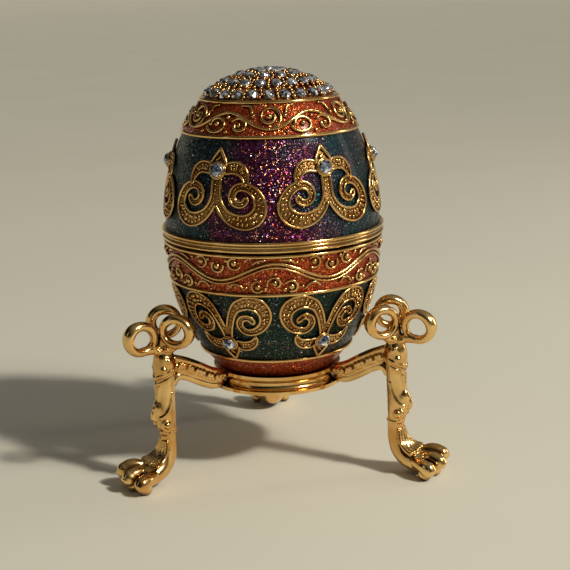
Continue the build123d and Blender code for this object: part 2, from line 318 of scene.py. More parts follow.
def beside(path, offset):
    """A flat curve moved sideways by offset, to its left where offset is positive."""
    along = unit(np.gradient(path, axis=0))
    left = np.stack([-along[:, 1], along[:, 0]], 1)
    return path + left * np.broadcast_to(offset, len(path))[:, None]


def outward_at(points):
    """Outward normals of the egg near points."""
    half = np.where(points[:, 2] >= SEAM, LID_RISE, BASE_DROP)
    level = points[:, :2] / EGG_RADIUS**2
    return unit(np.column_stack([level, (points[:, 2] - SEAM) / half**2]))


# --- materials
class Surface:
    """A node material built around one Principled shader."""

    def __init__(self, name, **values):
        self.material = bpy.data.materials.new(name)
        self.material.use_nodes = True
        self.tree = self.material.node_tree
        self.shader = self.tree.nodes["Principled BSDF"]
        self.coords = self.tree.nodes.new("ShaderNodeTexCoord").outputs["Object"]
        for socket, value in values.items():
            self.shader.inputs[socket.replace("_", " ")].default_value = value

    def node(self, kind, values=None, **settings):
        made = self.tree.nodes.new("ShaderNode" + kind)
        for key, value in settings.items():
            setattr(made, key, value)
        for key, value in (values or {}).items():
            if isinstance(value, bpy.types.NodeSocket):
                self.tree.links.new(value, made.inputs[key])
            else:
                made.inputs[key].default_value = value
        return made

    def noise(self, scale, detail=3.0):
        values = {"Vector": self.coords, "Scale": scale, "Detail": detail}
        return self.node("TexNoise", values).outputs["Fac"]

    def cells(self, scale):
        """Random cells, and their random colours as separate numbers."""
        found = self.node("TexVoronoi", {"Vector": self.coords, "Scale": scale})
        return found, self.node("SeparateColor", {"Color": found.outputs["Color"]}).outputs

    def leaning(self, tilt, amount):
        """The surface's normal, leaning a random way by amount in each cell."""
        normal = self.node("NewGeometry").outputs["Normal"]
        lean = self.node("VectorMath", {0: tilt, 1: (0.5, 0.5, 0.5)}, operation="SUBTRACT").outputs[0]
        lean = self.node("VectorMath", {0: lean, "Scale": amount}, operation="SCALE").outputs[0]
        leant = self.node("VectorMath", {0: normal, 1: lean}, operation="ADD").outputs[0]
        return self.node("VectorMath", {0: leant}, operation="NORMALIZE").outputs[0]

    def ramp(self, factor, stops, interpolation="LINEAR"):
        made = self.node("ValToRGB", {"Fac": factor})
        made.color_ramp.interpolation = interpolation
        elements = made.color_ramp.elements
        while len(elements) < len(stops):
            elements.new(0.5)
        for element, (position, colour) in zip(elements, stops):
            element.position = position
            element.color = (*colour, 1)
        return made.outputs["Color"]

    def maths(self, operation, a, b=0.0):
        return self.node("Math", {0: a, 1: b}, operation=operation).outputs[0]

    def mix(self, factor, a, b):
        made = self.node("Mix", {"Factor": factor}, data_type="RGBA")
        for key, value in (("A", a), ("B", b)):
            socket = [s for s in made.inputs if s.name == key and s.type == "RGBA"][0]
            if isinstance(value, bpy.types.NodeSocket):
                self.tree.links.new(value, socket)
            else:
                socket.default_value = (*value, 1)
        return [s for s in made.outputs if s.type == "RGBA"][0]

    def span(self, value, low, high):
        return self.node("MapRange", {"Value": value, "To Min": low, "To Max": high}).outputs[0]

    def feed(self, socket, value):
        self.tree.links.new(value, self.shader.inputs[socket])

    def bump(self, height, strength, distance, normal=None):
        values = {"Height": height, "Strength": strength, "Distance": distance}
        if normal is not None:
            values["Normal"] = normal
        return self.node("Bump", values).outputs["Normal"]


BLACK, WHITE = (0, 0, 0), (1, 1, 1)
# Scales of noise, from clouds of colour to the grain of the plating.
CLOUDS, POLISH, PLATING = 170, 420, 2600


def gold(name, light, dark, low, high, grain, grit, cavity, painted_shade_colour=(0.09, 0.03, 0.005)):
    """Plated cast metal. Its colour goes from dark to light and its roughness from low to high,
    grain and grit are the scale and strength of the casting's texture, and corners narrower than
    cavity are darkened with painted shade."""
    s = Surface(name, Metallic=1.0)
    cloud = s.noise(CLOUDS, 4)
    fine = s.noise(PLATING, 2)
    colour = s.mix(s.ramp(cloud, [(0.35, BLACK), (0.65, WHITE)]), dark, light)
    # Painted shade: ambient occlusion darkens the colour in corners and recesses.
    shade = s.node("AmbientOcclusion", {"Distance": cavity * MM}, samples=6).outputs["AO"]
    corner = s.ramp(shade, [(0.25, WHITE), (0.85, BLACK)])
    s.feed("Base Color", s.mix(corner, colour, painted_shade_colour))
    rough = s.maths("ADD", s.span(s.noise(POLISH, 3), low, high), s.span(fine, -0.03, 0.05))
    s.feed("Roughness", rough)
    soft = s.bump(s.noise(grain, 3), grit, 0.0002)
    s.feed("Normal", s.bump(fine, 0.12, 0.00004, soft))
    return s.material


FLAKE_SCALE = 3600
SMALL_FLAKES = 1.8
FLAKE_TILT = 0.7
FLAKE_METAL = 0.92


def glitter(name, ground, flakes, patches, ground_dark, lit, metal=0.75):
    """Enamel over glitter. flakes are (share, colour) stops, lit is the share of the surface that
    the small ones cover, and patches gives a second ground and flakes for large soft patches."""
    s = Surface(name, Coat_Weight=0.12, Coat_Roughness=0.1, Specular_IOR_Level=0.2)
    big, chance = s.cells(FLAKE_SCALE)
    small, chance_small = s.cells(FLAKE_SCALE * SMALL_FLAKES)
    tint = s.ramp(chance["Red"], flakes, "CONSTANT")
    tint_small = s.ramp(chance_small["Red"], flakes, "CONSTANT")
    base = s.mix(s.span(s.noise(900, 2), 0, 1), ground_dark, ground)
    if patches:
        where, other_ground, other_flakes = patches(s)
        other_small = s.ramp(chance_small["Red"], other_flakes, "CONSTANT")
        tint = s.mix(where, tint, s.ramp(chance["Red"], other_flakes, "CONSTANT"))
        tint_small = s.mix(where, tint_small, other_small)
        base = s.mix(where, base, other_ground)
    is_small = s.maths("GREATER_THAN", chance_small["Green"], 1 - lit)
    is_big = s.maths("GREATER_THAN", chance["Green"], 1 - lit * 0.4)
    colour = s.mix(is_big, s.mix(is_small, base, tint_small), tint)
    s.feed("Base Color", colour)
    shows = s.maths("MAXIMUM", is_small, is_big)
    s.feed("Metallic", s.maths("ADD", metal, s.maths("MULTIPLY", shows, FLAKE_METAL - metal)))
    s.feed("Roughness", s.maths("SUBTRACT", 0.5, s.maths("MULTIPLY", shows, 0.24)))
    tilt = s.mix(is_big, small.outputs["Color"], big.outputs["Color"])
    s.feed("Normal", s.bump(small.outputs["Distance"], 0.35, 0.00008, s.leaning(tilt, FLAKE_TILT)))
    s.feed("Coat Normal", s.bump(s.noise(700, 2), 0.25, 0.0001))
    return s.material


def teal_patches(s):
    """Where the lid's violet glitter gives way to dark teal: alternate sides of the egg."""
    place = s.node("SeparateXYZ", {"Vector": s.coords})
    turn = s.maths("ARCTAN2", place.outputs["X"], s.maths("MULTIPLY", place.outputs["Y"], -1.0))
    wave = s.maths("COSINE", s.maths("MULTIPLY", turn, REPEATS / 2))
    wander = s.maths("MULTIPLY", s.maths("SUBTRACT", s.noise(110, 4), 0.5), 3.2)
    both = s.maths("ADD", s.maths("MULTIPLY", wave, -0.5), s.maths("ADD", wander, 0.5))
    where = s.ramp(both, [(0.0, BLACK), (0.75, WHITE)])
    return where, (0.005, 0.018, 0.022), [
        (0.0, (0.01, 0.05, 0.06)), (0.4, (0.02, 0.09, 0.10)), (0.65, (0.03, 0.14, 0.14)),
        (0.8, (0.07, 0.05, 0.17)), (0.9, (0.28, 0.12, 0.22)), (0.965, (0.7, 0.75, 0.7)),
    ]


def violet_patches(s):
    """Violet clouds in the lower field's dark green glitter."""
    where = s.ramp(s.noise(90, 3), [(0.52, BLACK), (0.72, WHITE)])
    return where, (0.026, 0.008, 0.026), [
        (0.0, (0.07, 0.03, 0.08)), (0.4, (0.13, 0.045, 0.13)), (0.7, (0.03, 0.09, 0.08)),
        (0.88, (0.4, 0.22, 0.38)), (0.965, (0.85, 0.8, 0.7)),
    ]


GOLD_LIGHT = (0.93, 0.63, 0.26)
GOLD_DARK = (0.68, 0.37, 0.11)
polished = gold("gold_polished", GOLD_LIGHT, GOLD_DARK, 0.08, 0.18, 500, 0.12, cavity=1.0)
cast = gold("gold_cast", GOLD_LIGHT, GOLD_DARK, 0.10, 0.22, 450, 0.3, cavity=1.6)
wire = gold("gold_wire", (0.80, 0.53, 0.21), (0.50, 0.26, 0.08), 0.14, 0.28, 1500, 0.35, cavity=0.9)
granular = gold("gold_floor", (0.50, 0.27, 0.09), (0.20, 0.085, 0.02), 0.25, 0.45, 2200, 0.9, cavity=0.9)
pave = gold("gold_pave", (0.72, 0.36, 0.13), (0.34, 0.12, 0.035), 0.25, 0.45, 1300, 1.0, cavity=0.8)
# A darker copy of the gold for the shells: painted shade for the rims' dark reflections, with near-black
# painted shade in its corners.
shell_gold = gold(
    "gold_painted_shade", (0.60, 0.38, 0.14), (0.36, 0.19, 0.06), 0.14, 0.28, 600, 0.15,
    cavity=1.2, painted_shade_colour=(0.03, 0.012, 0.003),
)
beadwork = gold(
    "gold_beadwork", (0.90, 0.55, 0.22), (0.55, 0.22, 0.07), 0.16, 0.3, 1300, 0.4,
    cavity=0.9, painted_shade_colour=(0.12, 0.025, 0.006),
)

violet = glitter(
    "glitter_violet",
    (0.062, 0.008, 0.036),
    [(0.0, (0.04, 0.005, 0.03)), (0.38, (0.17, 0.02, 0.11)), (0.58, (0.40, 0.05, 0.22)),
     (0.7, (0.60, 0.13, 0.07)), (0.82, (0.10, 0.04, 0.2)), (0.89, (0.85, 0.36, 0.16)),
     (0.96, (1.0, 0.85, 0.75))],
    teal_patches,
    (0.010, 0.0015, 0.008),
    0.26,
)
teal = glitter(
    "glitter_teal",
    (0.010, 0.026, 0.022),
    [(0.0, (0.008, 0.03, 0.025)), (0.4, (0.02, 0.09, 0.065)), (0.65, (0.05, 0.14, 0.09)),
     (0.8, (0.15, 0.09, 0.17)), (0.9, (0.4, 0.3, 0.18)), (0.965, (0.8, 0.82, 0.7))],
    violet_patches,
    (0.003, 0.007, 0.006),
    0.24,
)
orange = glitter(
    "glitter_orange",
    (0.35, 0.042, 0.007),
    [(0.0, (0.36, 0.035, 0.007)), (0.35, (0.68, 0.11, 0.018)), (0.62, (0.88, 0.24, 0.04)),
     (0.8, (0.36, 0.04, 0.06)), (0.88, (0.95, 0.38, 0.12)), (0.97, (1.0, 0.8, 0.5))],
    None,
    (0.09, 0.007, 0.002),
    0.4,
    metal=0.45,
)


FACET_SCALE = 1900
FACET_TILT = 0.5


def crystal_material(name, tint, painted_glint):
    """Cut stone with a foiled back: each facet mirrors its own way, under a clear glaze."""
    s = Surface(name, Coat_Weight=1.0, Coat_Roughness=0.02, IOR=1.55)
    cell, chance = s.cells(FACET_SCALE)
    # Facets get dark and white base colours at random: painted dark reflections and painted glints, on
    # top of each facet's real tilt.
    dark, half_dark = tuple(0.16 * c for c in tint), tuple(0.5 * c for c in tint)
    stops = [(0.0, dark), (0.25, half_dark), (0.5, tint), (0.75, painted_glint)]
    s.feed("Base Color", s.ramp(chance["Red"], stops, "CONSTANT"))
    s.feed("Metallic", s.span(chance["Blue"], 0.75, 0.95))
    s.feed("Roughness", s.span(s.noise(1500), 0.04, 0.14))
    s.feed("Normal", s.leaning(cell.outputs["Color"], FACET_TILT))
    return s.material


clear_stone = crystal_material("crystal_clear", (0.66, 0.69, 0.77), (1.0, 1.0, 1.0))
blue_stone = crystal_material("crystal_blue", (0.36, 0.45, 0.70), (0.85, 0.9, 1.0))


def nickel_material():
    s = Surface("nickel_plate", Metallic=1.0, Base_Color=(0.66, 0.65, 0.62, 1))
    s.feed("Roughness", s.span(s.noise(1200), 0.22, 0.4))
    s.feed("Normal", s.bump(s.noise(2500, 2), 0.2, 0.00005))
    return s.material


nickel = nickel_material()


def repaint(material, *names):
    """CAD nodes' own shapes with a new material."""
    for name in names:
        mesh = nodes[name].data
        mesh.materials.clear()
        mesh.materials.append(material)


repaint(polished, "hinge_pin", "stand_ring")
repaint(shell_gold, "base_shell", "lid_shell")
repaint(orange, "base_belt_enamel", "base_foot_enamel", "lid_band_enamel")
repaint(teal, "base_field_enamel")
repaint(violet, "lid_field_enamel")
repaint(pave, "dome_setting")
repaint(nickel, "base_magnet", "lid_magnet")

# --- rounded lines
# Lines laid around the egg, as (height, wire radius, how far it stands out).
LID_LINES = ((77.35, 0.36, 0.55), (71.0, 0.36, 0.6), (51.0, 0.36, 0.9), (50.32, 0.2, 0.64))
BASE_LINES = ((49.55, 0.3, 0.82), (48.45, 0.32, 0.6), (40.65, 0.36, 0.6), (25.55, 0.34, 0.58))
LINE_SIDES = 24


def line_piece(name, body, lines):
    """Several rounded lines as one piece."""
    form = Form()
    for height, tube, proud in lines:
        radius = outline_radius(height) + proud - tube
        turns = circle(LINE_SIDES)
        form.lathe(np.stack([radius + tube * np.cos(turns), height + tube * np.sin(turns)], 1))
    form.piece(name, body, "gold", polished)


line_piece("lid_line_wires", "lid", LID_LINES)
line_piece("base_line_wires", "egg_base", BASE_LINES)

# --- the scroll motifs
# A motif's right half, in millimetres across and up from its crystal. The lid's scrolls leave the
# crystal side by side, and the lower half's fork at once.
STEM_RADIUS = 5.4
LOBE_RADII = (3.3, 3.6, 2.0, 1.65, 1.25)
LOBE_WIDTHS = (1.2, 1.25, 1.35, 1.6, 2.2, 2.65, 2.6, 2.15, 1.65, 1.4, 1.25, 1.15, 1.05, 0.9)
FORK = ((0.25, -1.5), (0.45, -2.6), (1.0, -4.4), (1.9, -6.8), (3.3, -8.8), (5.6, -9.6))
LEAF = ((1.4, 0.2), (3.1, 0.8), (4.7, 0.5))
LEAF_WIDTHS = (1.7, 2.1, 2.15, 1.8, 1.15, 0.4)
POINT = ((-1.75, 0.9), (-1.5, 2.0), (-0.8, 3.2), (0, 4.4))
WIRE = 0.26
WIRE_LIFT = 0.36
FLOOR_LIFT = 0.22
GRAIN_LIFT = 0.26


def motif(azimuth, height, size, flip, droop, low, high, seed):
    """Three forms of one motif: its wires, its granular floor and its granules. flip turns it
    upside down, droop lowers its leaves' tips, and it stays between the heights low and high."""
    chance = random.Random(seed)
    wires, floor, granules = Form(), Form(), Form()
    up = -1 if flip else 1

    def lay(points, lift):
        points = np.asarray(points, float) * size
        found = drape(points * [1, up], azimuth, height, lift)
        found[:, 2] = np.clip(found[:, 2], low, high)
        return found

    def run(points, radii, lift=WIRE_LIFT):
        path = lay(resampled(points, 0.22), lift)
        radii = spread(radii, len(path)) * size
        wires.tube(path, radii, 10, face=outward_at(path), flat=0.9)

    def ribbon(centre, widths):
        centre = smoothed(resampled(centre, 0.3), 6)
        width = spread(widths, len(centre))
        left, right = beside(centre, width / 2), beside(centre, -width / 2)
        floor.sheet(lay(left, FLOOR_LIFT), lay(right, FLOOR_LIFT))
        return centre, left, right, width

    def granulate(centre, width):
        since = 0.0
        for i in range(3, len(centre) - 2):
            since += np.linalg.norm(centre[i] - centre[i - 1])
            room = max(0.0, width[i] / 2 - 0.4)
            if since < 0.5 + room * 0.2:
                continue
            since = 0.0
            along = centre[i + 1] - centre[i - 1]
            side = np.array([-along[1], along[0]]) / np.linalg.norm(along)
            for row in (-0.55, 0.5) if room > 0.5 else (0.0,):
                spot = centre[i] + side * (row * room + chance.uniform(-0.1, 0.1))
                spot = spot + along * chance.uniform(-0.4, 0.4)
                place = lay([spot], GRAIN_LIFT)
                radius = min(0.42, 0.17 + room * 0.27) * chance.uniform(0.7, 1.2)
                across = (lay([spot + side * 0.1], GRAIN_LIFT) - place)[0]
                across /= np.linalg.norm(across)
                outwards = outward_at(place)[0]
                axes = [across, np.cross(outwards, across), outwards]
                granules.ball(place[0], (radius * 1.15, radius * 0.85, radius * 0.8), 5, axes)

    for side in (1, -1):
        if flip:
            stem = spline([(side * x, y) for x, y in FORK], 40)
        else:
            straight = [(side * 0.3, y) for y in np.linspace(-1.6, -4.1, 8)]
            stem = np.vstack([straight, arcs((side * 0.3, -4.2), -90, [STEM_RADIUS], side)])
        spiral = np.vstack([stem, arcs(stem[-1], 90 - 90 * side, LOBE_RADII, side)[1:]])
        centre, left, right, width = ribbon(spiral, LOBE_WIDTHS)
        inner, outer = (left, right) if side > 0 else (right, left)
        radii = [WIRE, WIRE, WIRE * 1.05, WIRE, WIRE, WIRE * 0.95]
        run(inner, radii)
        first = next(i for i, (x, y) in enumerate(outer) if x * side > 0.15 and y < -4)
        run(outer[first:], radii)
        tip = centre[-1] + (centre[-1] - centre[-3]) * 0.6
        run(np.vstack([inner[-1], tip, outer[-1]]), [WIRE, WIRE * 1.2, WIRE])
        granulate(centre, width)

        curled = (*LEAF, (5.8, -0.5 + droop * 0.4), (6.0, -1.2 + droop))
        leaf = spline([(side * x, y) for x, y in curled], 40)
        centre, left, right, width = ribbon(leaf, LEAF_WIDTHS)
        run(left, [WIRE, WIRE, WIRE * 0.9])
        run(right, [WIRE, WIRE, WIRE * 0.9])
        wires.ball(lay([centre[-1]], 0.42)[0], 0.42 * size, 6)
        granulate(centre, width)

    point = spline(POINT, 30)
    other = point * [-1, 1]
    edge = np.vstack([point, other[::-1][1:]])
    run(edge, [WIRE * 1.2, WIRE * 1.2, WIRE * 1.35, WIRE * 1.2, WIRE * 1.2], 0.45)
    floor.sheet(lay(point, 0.12), lay(other, 0.12))
    run(spline([(-0.55, 2.0), (0.0, 2.5), (0.35, 2.9)], 8), [WIRE * 1.1, WIRE * 0.7])

    origin, level, climb, normal = tangent_frame(azimuth, height)

    def around_crystal(radius, lift, turn):
        out = level * math.cos(turn) + climb * math.sin(turn)
        return origin + normal * lift + radius * size * out

    for radius, lift, thick in ((1.62, 0.5, 0.26), (1.5, 0.85, 0.17)):
        wires.tube([around_crystal(radius, lift, t) for t in circle(48)], thick, 10, closed=True)
    for turn in circle(4):
        wires.ball(around_crystal(1.42, 1.1, turn + math.pi / 4), 0.22, 5)
    return wires, floor, granules


FACETS = 8


def stone(form, place, normal, radius, girdle, crown, turn):
    """Round cut crystal: girdle, two rings of crown facets and a flat table."""
    normal = normal / np.linalg.norm(normal)
    side = np.cross(normal, [0.31, 0.17, 0.93])
    side /= np.linalg.norm(side)
    other = np.cross(normal, side)
    rings = [
        (radius * 0.96, 0.0, 2 * FACETS, 0.0),
        (radius, girdle, 2 * FACETS, 0.0),
        (radius * 0.82, girdle + crown * 0.5, FACETS, 0.5),
        (radius * 0.54, girdle + crown, FACETS, 0.0),
    ]
    verts, starts = [], []
    for r, h, count, shift in rings:
        starts.append(len(verts))
        for k in range(count):
            t = turn + FULL_TURN * (k + shift) / count
            verts.append(place + normal * h + (side * math.cos(t) + other * math.sin(t)) * r)
    faces = []
    low, edge, mid, top = starts
    for k in range(2 * FACETS):
        m = (k + 1) % (2 * FACETS)
        faces.append((low + k, low + m, edge + m, edge + k))
    for k in range(FACETS):
        m = (k + 1) % FACETS
        a, b, c = edge + 2 * k, edge + (2 * k + 1) % (2 * FACETS), edge + (2 * k + 2) % (2 * FACETS)
        faces += [(a, b, mid + k), (b, c, mid + k), (c, mid + m, mid + k)]
        faces += [(top + k, mid + k, top + m), (top + m, mid + k, mid + m)]
    faces.append(tuple(range(top, top + FACETS)))
    form.add(verts, faces)


def motif_set(height, size, flip, droop, low, high, seed):
    """All the motifs of a field and their crystals."""
    whole = [Form(), Form(), Form()]
    stones = Form()
    for i in range(REPEATS):
        azimuth = 360 * (i + 0.5) / REPEATS
        parts = motif(azimuth, height, size, flip, droop, low, high, seed + i)
        for form, part in zip(whole, parts):
            form.add(np.vstack(part.verts), part.faces)
        origin, _, _, normal = tangent_frame(azimuth, height)
        place = origin + normal * 0.62
        stone(stones, place, normal, radius=1.4, girdle=0.45, crown=0.75, turn=0.2 + i)
    return whole, stones


(lid_wires, lid_floor, lid_grains), lid_stones = motif_set(
    height=64.8, size=1.0, flip=False, droop=-1.3, low=51.7, high=70.55, seed=11
)
lid_wires.piece("lid_scroll_wires", "lid", "gold", wire, ["lid_scrolls"])
lid_floor.piece("lid_scroll_floor", "lid", "gold", granular)
lid_grains.piece("lid_scroll_grains", "lid", "gold", wire)
lid_stones.piece("lid_cut_crystals", "lid", "crystal", blue_stone, ["lid_crystals"], smooth=False)

(base_wires, base_floor, base_grains), base_stones = motif_set(
    height=30.0, size=0.97, flip=True, droop=-0.2, low=26.0, high=40.2, seed=41
)
base_wires.piece("base_scroll_wires", "egg_base", "gold", wire, ["base_scrolls"])
base_floor.piece("base_scroll_floor", "egg_base", "gold", granular)
base_grains.piece("base_scroll_grains", "egg_base", "gold", wire)
base_stones.piece("base_cut_crystals", "egg_base", "crystal", blue_stone, ["base_crystals"], smooth=False)


# --- vines and beads of the bands
SECTOR = math.radians(360 / REPEATS)
VINE_LIFT = 0.2
VINE_SPACING = 0.25
BELT_MIDDLE = 44.6
BAND_MIDDLE = 74.2
CURL_POINTS = 60


def curl(centre, start, turns, outer, inner, side, stretch, count=CURL_POINTS):
    """Spiral (mm around, mm up) from its outer end at an angle in degrees to its centre."""
    share = np.linspace(0, 1, count)
    angle = np.radians(start) + side * turns * FULL_TURN * share
    radius = outer + (inner - outer) * share
    return np.stack([centre[0] + stretch * radius * np.cos(angle), centre[1] + radius * np.sin(angle)], 1)


def vine_form(middle, curves, spots):
    """One sector's wires and beads in (mm around, mm up) about a height, on the egg."""
    wires, beads = Form(), Form()

    def place(points, height):
        points = np.asarray(points, float)
        azimuth = np.degrees(points[:, 0] / outline_radius(middle))
        return band_points(azimuth, middle + points[:, 1], height)

    for points, radii in curves:
        path = place(resampled(points, VINE_SPACING), VINE_LIFT)
        wires.tube(path, spread(radii, len(path)), 9, face=outward_at(path))
    for spot, radius in spots:
        beads.ball(place([spot], VINE_LIFT * 0.9)[0], radius, 7)
    return wires, beads


def belt():
    """The belt below the rim: a wave of two wires, with curls and beads on both of its sides."""
    arc = SECTOR * outline_radius(BELT_MIDDLE)
    half = arc / 2
    along = np.linspace(-half, half, 72)
    wave = np.stack([along, 1.75 * np.cos(FULL_TURN * along / arc) + 0.75], 1)
    curves = [(wave, [0.28, 0.36, 0.3, 0.36, 0.28]), (beside(wave, -0.78), [0.22] * 2)]
    spots = []
    for place, start, side in ((-3.9, 60, 1), (0.0, 200, -1), (3.9, 150, -1)):
        drop = 0.05 * place**2
        below, above = (place * 0.85, -1.45 - drop), (half + place * 0.95, 1.75 + drop)
        for centre, first in ((below, start), (above, start + 180)):
            curves.append((curl(centre, first, 0.72, 1.3, 0.95, side, 1.1, 30), [0.2, 0.28, 0.3]))
            spots.append((centre, 0.62))
    spots += [
        ((-1.9, -2.7), 0.42), ((2.0, -2.75), 0.46), ((5.6, -2.3), 0.36), ((-5.7, -2.4), 0.36),
        ((0.2, 0.35), 0.36), ((half - 2.0, 3.05), 0.4), ((half + 2.1, 3.0), 0.44),
        ((half - 6.2, 3.1), 0.34), ((half + 6.0, 3.1), 0.34),
    ]
    hook = np.array([(6.0, -2.9), (7.0, -1.9), (8.3, -1.7), (9.3, -2.6)])
    sprig = np.array([(1.6, 3.2), (3.0, 3.1), (4.2, 2.4)])
    for side in (1, -1):
        curves.append((spline(hook * [side, 1], 16), [0.2, 0.3, 0.24]))
        curves.append((spline(sprig * [side, 1], 12), [0.2, 0.3, 0.2]))
    return vine_form(BELT_MIDDLE, curves, spots)


def band():
    """The band under the dome: a wave with a large curl over each trough, two under each crest."""
    arc = SECTOR * outline_radius(BAND_MIDDLE)
    half = arc / 2
    along = np.linspace(0, arc, 60)
    wave = np.stack([along, -1.5 * np.cos(FULL_TURN * along / arc) - 0.3], 1)
    curves = [
        (wave, [0.3, 0.42, 0.32, 0.42, 0.3]),
        (curl((0.0, 0.45), -75, 1.3, 2.1, 0.8, 1, 1.15), [0.3, 0.4, 0.34, 0.42]),
        (curl((half - 2.3, -0.95), 190, 1.0, 1.6, 1.0, 1, 1.35), [0.3, 0.38, 0.3, 0.4]),
        (curl((half + 2.6, -1.1), 150, 0.95, 1.45, 0.75, -1, 1.15), [0.3, 0.36, 0.3, 0.38]),
        (spline([(half - 5.2, 1.0), (half - 4.6, 2.3), (half - 3.2, 2.5)], 12), [0.3, 0.22]),
        (spline([(half + 5.0, 1.0), (half + 4.4, 2.3), (half + 3.0, 2.5)], 12), [0.3, 0.22]),
    ]
    spots = [
        ((0.0, 0.45), 0.66), ((half - 2.1, -0.9), 0.55), ((half + 2.6, -1.1), 0.48),
        ((half + 0.1, 0.35), 0.42), ((half - 5.4, 0.6), 0.45), ((half + 5.2, 0.6), 0.45),
        ((half + 0.2, -2.3), 0.42), ((3.2, -2.3), 0.38),
    ]
    return vine_form(BAND_MIDDLE, curves, spots)


belt_wires, belt_beads = belt()
belt_wires.around(REPEATS).piece("base_vine_wires", "egg_base", "gold", wire, ["base_vine"])
belt_beads.around(REPEATS).piece("base_vine_beads", "egg_base", "gold", wire, ["base_beads"])
band_wires, band_beads = band()
band_wires.around(REPEATS).piece("lid_vine_wires", "lid", "gold", wire, ["lid_vine"])
band_beads.around(REPEATS).piece("lid_vine_beads", "lid", "gold", wire, ["lid_beads"])

# --- dome
DOME_CENTRE = 61.6
DOME_RADIUS = 20.8
# Rows of stones and of grains between them, as (degrees from the top, how many).
DOME_ROWS = ((35.8, 24), (25.6, 18), (16.0, 11), (8.0, 6))
GRAIN_ROWS = ((31.9, 48), (29.5, 44), (21.9, 34), (19.7, 30), (12.0, 20))
# Grains between two stones of a row, as (degrees below the row, radius).
PRONGS = ((2.4, 0.38), (0.0, 0.34), (-2.4, 0.38))


def dome_spot(polar, azimuth):
    """Point of the dome and its outward normal. Angles are in degrees."""
    polar, turn = math.radians(polar), math.radians(azimuth)
    level = math.sin(polar)
    normal = np.array([level * math.cos(turn), level * math.sin(turn), math.cos(polar)])
    return UP * DOME_CENTRE + normal * DOME_RADIUS, normal


dome_stones, dome_grains = Form(), Form()
chance = random.Random(5)
for polar, count in ((0.0, 1), *DOME_ROWS):
    for i in range(count):
        place, normal = dome_spot(polar, 360 * i / count)
        tilt = np.array([chance.uniform(-0.1, 0.1) for _ in range(3)])
        place, normal, turn = place + normal * 0.02, normal + tilt, chance.uniform(0, 3)
        stone(dome_stones, place, normal, radius=1.2, girdle=0.4, crown=0.55, turn=turn)
for polar, count in DOME_ROWS:
    for i in range(count):
        for lean, radius in PRONGS:
            azimuth = 360 * (i + 0.5) / count + chance.uniform(-0.8, 0.8)
            place, normal = dome_spot(polar + lean, azimuth)
            dome_grains.ball(place + normal * 0.42, radius * chance.uniform(0.8, 1.15), 6)
for polar, count in GRAIN_ROWS:
    for i in range(count):
        sway = chance.uniform(-0.5, 0.5)
        place, normal = dome_spot(polar + sway, 360 * (i + chance.uniform(-0.15, 0.15)) / count)
        lift = chance.uniform(0.25, 0.5)
        dome_grains.ball(place + normal * lift, chance.uniform(0.32, 0.46), 6)
dome_stones.piece("dome_cut_crystals", "lid", "crystal", clear_stone, ["dome_crystals"], smooth=False)
dome_grains.piece("dome_grain_prongs", "lid", "gold", beadwork, ["dome_prongs"])

# --- stand
LEG_RADIUS = 27.2
LEG_ANGLES = {"front_right": -27, "back": 93, "front_left": 213}


def fused(form, name, voxel, relax):
    """One cast skin around overlapping parts, of faces voxel wide, smoothed relax times."""
    obj = placed(name, form.mesh(name))
    skin = obj.modifiers.new("skin", "REMESH")
    skin.mode = "VOXEL"
    skin.voxel_size = voxel * MM
    skin.use_smooth_shade = True
    ease = obj.modifiers.new("ease", "SMOOTH")
    ease.iterations = relax
    ease.factor = 0.5
    result = bpy.data.meshes.new_from_object(obj.evaluated_get(bpy.context.evaluated_depsgraph_get()))
    bpy.data.objects.remove(obj)
    result.materials.clear()
    result.materials.append(cast)
    result.shade_smooth()
    return result


TRUNK_POINTS = 90
TRUNK_SIDES = 20


def trunk(form, stations):
    """Organic limb through stations of (x, z, half depth, half width)."""
    stations = spline(stations, TRUNK_POINTS)
    path = np.stack([stations[:, 0], np.zeros(len(stations)), stations[:, 1]], 1)
    across = np.array([0, 1.0, 0])
    face = np.cross(unit(np.gradient(path, axis=0)), across)
    verts = []
    for spot, front, (_, _, depth, width) in zip(path, face, stations):
        for t in circle(TRUNK_SIDES):
            verts.append(spot + front * math.cos(t) * depth + across * math.sin(t) * width)
    faces = ring_faces(TRUNK_POINTS, TRUNK_SIDES)
    faces.append(tuple(range(TRUNK_SIDES))[::-1])
    faces.append(tuple(range(len(verts) - TRUNK_SIDES, len(verts))))
    form.add(verts, faces)


def collar(form, height_in, height_out, radius, thick, centre):
    """Ridge around the shaft, lower on its outer side."""
    path = []
    for t in circle(40):
        inwards = abs(math.remainder(t, FULL_TURN)) / math.pi
        height = height_out + (height_in - height_out) * inwards
        path.append((centre + radius * math.cos(t), radius * math.sin(t), height))
    form.tube(path, thick, 8, closed=True)


# A strand of fur on the ankle, as (forward, share of its distance to the side, height).
FUR = ((1.7, 0.7, 9.4), (2.35, 0.95, 7.0), (3.6, 1.2, 5.6), (5.2, 1.45, 5.0))


